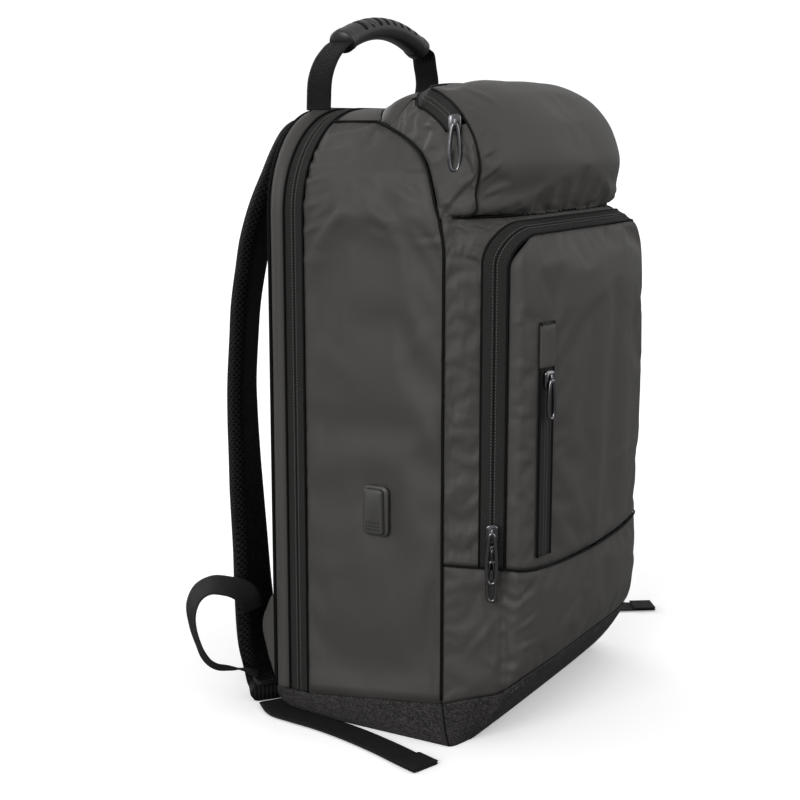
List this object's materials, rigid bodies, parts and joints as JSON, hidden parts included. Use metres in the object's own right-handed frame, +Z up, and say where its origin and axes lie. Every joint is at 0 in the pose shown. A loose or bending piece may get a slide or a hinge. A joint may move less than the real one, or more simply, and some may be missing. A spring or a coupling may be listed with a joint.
{
  "type": "laptop backpack",
  "caption": "Tall laptop backpack in coated cloth with a roll-shaped top pocket, a big zipped front pocket, a padded mesh back and straps, standing upright.",
  "frame": {"origin": "middle of the underside of the base", "axes": "+Z up, the front faces -Y and the shoulder straps +Y, +X is the bag's right side seen from the front"},
  "size_m": [0.4512, 0.3011, 0.5455],
  "materials": {
    "coated_fabric": "coated cloth with a soft sheen",
    "ballistic_fabric": "coarse matte weave",
    "air_mesh": "open spacer mesh, matte",
    "webbing": "woven, matte",
    "zip_tape": "fine woven tape with a coil",
    "gunmetal": "polished gunmetal",
    "grip_rubber": "satin",
    "black_plastic": "satin"
  },
  "bodies": {
    "root": {"side_panel_left": "coated_fabric", "side_panel_right": "coated_fabric", "top_panel": "coated_fabric", "rear_gusset": "coated_fabric", "front_panel": "coated_fabric", "front_pocket_lower": "coated_fabric", "front_pocket_gusset": "coated_fabric", "front_pocket_upper": "coated_fabric", "slot_garage": "coated_fabric", "top_pocket_rear": "coated_fabric", "top_pocket_shell": "coated_fabric", "top_pocket_end_left": "coated_fabric", "top_pocket_end_right": "coated_fabric", "corner_tab_left": "coated_fabric", "corner_tab_right": "coated_fabric", "base_panel": "ballistic_fabric", "back_panel": "air_mesh", "back_pad_1": "air_mesh", "back_pad_2": "air_mesh", "back_pad_3": "air_mesh", "back_pad_4": "air_mesh", "shoulder_strap_left": "air_mesh", "shoulder_strap_right": "air_mesh", "webbing_loop_left": "webbing", "webbing_loop_right": "webbing", "webbing_tail_left": "webbing", "webbing_tail_right": "webbing", "tail_fold_left": "webbing", "tail_fold_right": "webbing", "handle_webbing_left": "webbing", "handle_webbing_right": "webbing", "corner_piping_left": "webbing", "corner_piping_right": "webbing", "main_zip_tape": "zip_tape", "front_pocket_zip_tape": "zip_tape", "slot_zip_tape": "zip_tape", "top_pocket_zip_tape": "zip_tape", "slot_zip_slider": "gunmetal", "slot_zip_pull": "gunmetal", "front_zip_upper_slider": "gunmetal", "front_zip_upper_pull": "gunmetal", "front_zip_lower_slider": "gunmetal", "front_zip_lower_pull": "gunmetal", "top_zip_slider": "gunmetal", "top_zip_pull": "gunmetal", "main_zip_slider": "gunmetal", "main_zip_pull": "gunmetal", "handle_grip": "grip_rubber", "usb_port_cover": "black_plastic", "ladder_lock_left": "black_plastic", "ladder_lock_right": "black_plastic"}
  },
  "joints": []
}
